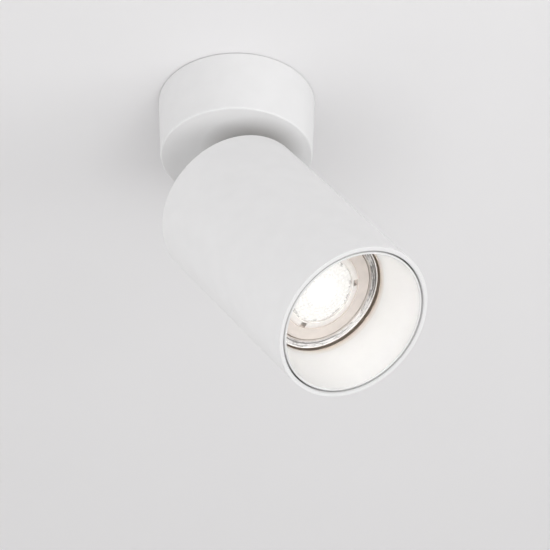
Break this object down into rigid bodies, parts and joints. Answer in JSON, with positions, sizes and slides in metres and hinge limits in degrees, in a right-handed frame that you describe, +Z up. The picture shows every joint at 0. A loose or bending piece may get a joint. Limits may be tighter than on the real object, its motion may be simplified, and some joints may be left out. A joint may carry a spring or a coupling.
{
  "type": "surface mounted ceiling spotlight",
  "caption": "Round ceiling canopy with a swivel stem and a tilting cylindrical head that holds a twist-lock reflector lamp behind a white conical baffle.",
  "frame": {"origin": "centre of the canopy's mouth in the ceiling plane, midway between the two ceiling screw slots", "axes": "+Z up into the ceiling, along the pan axis; the head tilts towards +X about an axis along Y"},
  "size_m": [0.1247, 0.07, 0.1666],
  "materials": {
    "white_paint": "matte powder coat",
    "zinc_steel": "zinc plated",
    "brass": "bright",
    "block_plastic": "moulded",
    "nylon": "moulded",
    "bushing_rubber": "matte",
    "lead_insulation": "silicone",
    "earth_insulation": "green and yellow",
    "ceramic": "glazed ceramic",
    "lamp_white": "moulded",
    "lamp_metal": "satin",
    "lamp_board": "solder mask",
    "lamp_phosphor": "phosphor",
    "lamp_glass": "clear",
    "lens_plastic": "clear moulded"
  },
  "bodies": {
    "canopy_body": {"canopy": "white_paint", "canopy_screws": "white_paint", "ceiling_bracket": "zinc_steel", "cable_bushing": "bushing_rubber", "terminal_block": "block_plastic", "terminal_inserts": "brass", "terminal_screws": "zinc_steel", "terminal_block_screws": "zinc_steel", "earth_screw": "brass", "earth_tag": "brass", "pan_washer": "nylon", "stop_pin": "zinc_steel", "canopy_leads": "lead_insulation", "earth_lead": "earth_insulation"},
    "stem_body": {"swivel_stem": "white_paint", "wave_washer": "zinc_steel", "stop_ring": "zinc_steel", "stem_nut": "zinc_steel", "stem_leads": "lead_insulation"},
    "head_body": {"head_tube": "white_paint", "head_cap": "white_paint", "tilt_bracket": "zinc_steel", "tilt_screw": "zinc_steel", "tilt_nut": "zinc_steel", "tilt_washers": "nylon", "tilt_bracket_screws": "zinc_steel", "bridge_screws": "zinc_steel", "lampholder_bridge": "zinc_steel", "lampholder_screws": "zinc_steel", "lampholder": "ceramic", "lampholder_contacts": "zinc_steel", "head_leads": "lead_insulation"},
    "lamp_body": {"lamp_base": "lamp_white", "lamp_pins": "zinc_steel", "lamp_glass": "lamp_glass", "lamp_cup": "lamp_metal", "lamp_board": "lamp_board", "lamp_chips": "lamp_phosphor", "lamp_lens_ring": "lamp_white", "lamp_lens": "lens_plastic"},
    "baffle_body": {"front_baffle": "white_paint", "baffle_springs": "zinc_steel"}
  },
  "joints": [
    {"name": "head_pan", "type": "hinge", "parent": "canopy_body", "child": "stem_body", "pos_m": [0, 0, -0.03], "axis": [0, 0, 1], "range_deg": [-165, 165]},
    {"name": "head_tilt", "type": "hinge", "parent": "stem_body", "child": "head_body", "pos_m": [0, 0, -0.06], "axis": [0, -1, 0], "range_deg": [-35.3, 14.7]},
    {"name": "lamp_twist", "type": "hinge", "parent": "head_body", "child": "lamp_body", "pos_m": [0, 0, -0.06], "axis": [0.5779, 0, -0.8161], "range_deg": [-40, 0]},
    {"name": "baffle_pull", "type": "slide", "parent": "head_body", "child": "baffle_body", "axis": [0.5779, 0, -0.8161], "range_m": [0, 0.03]}
  ]
}
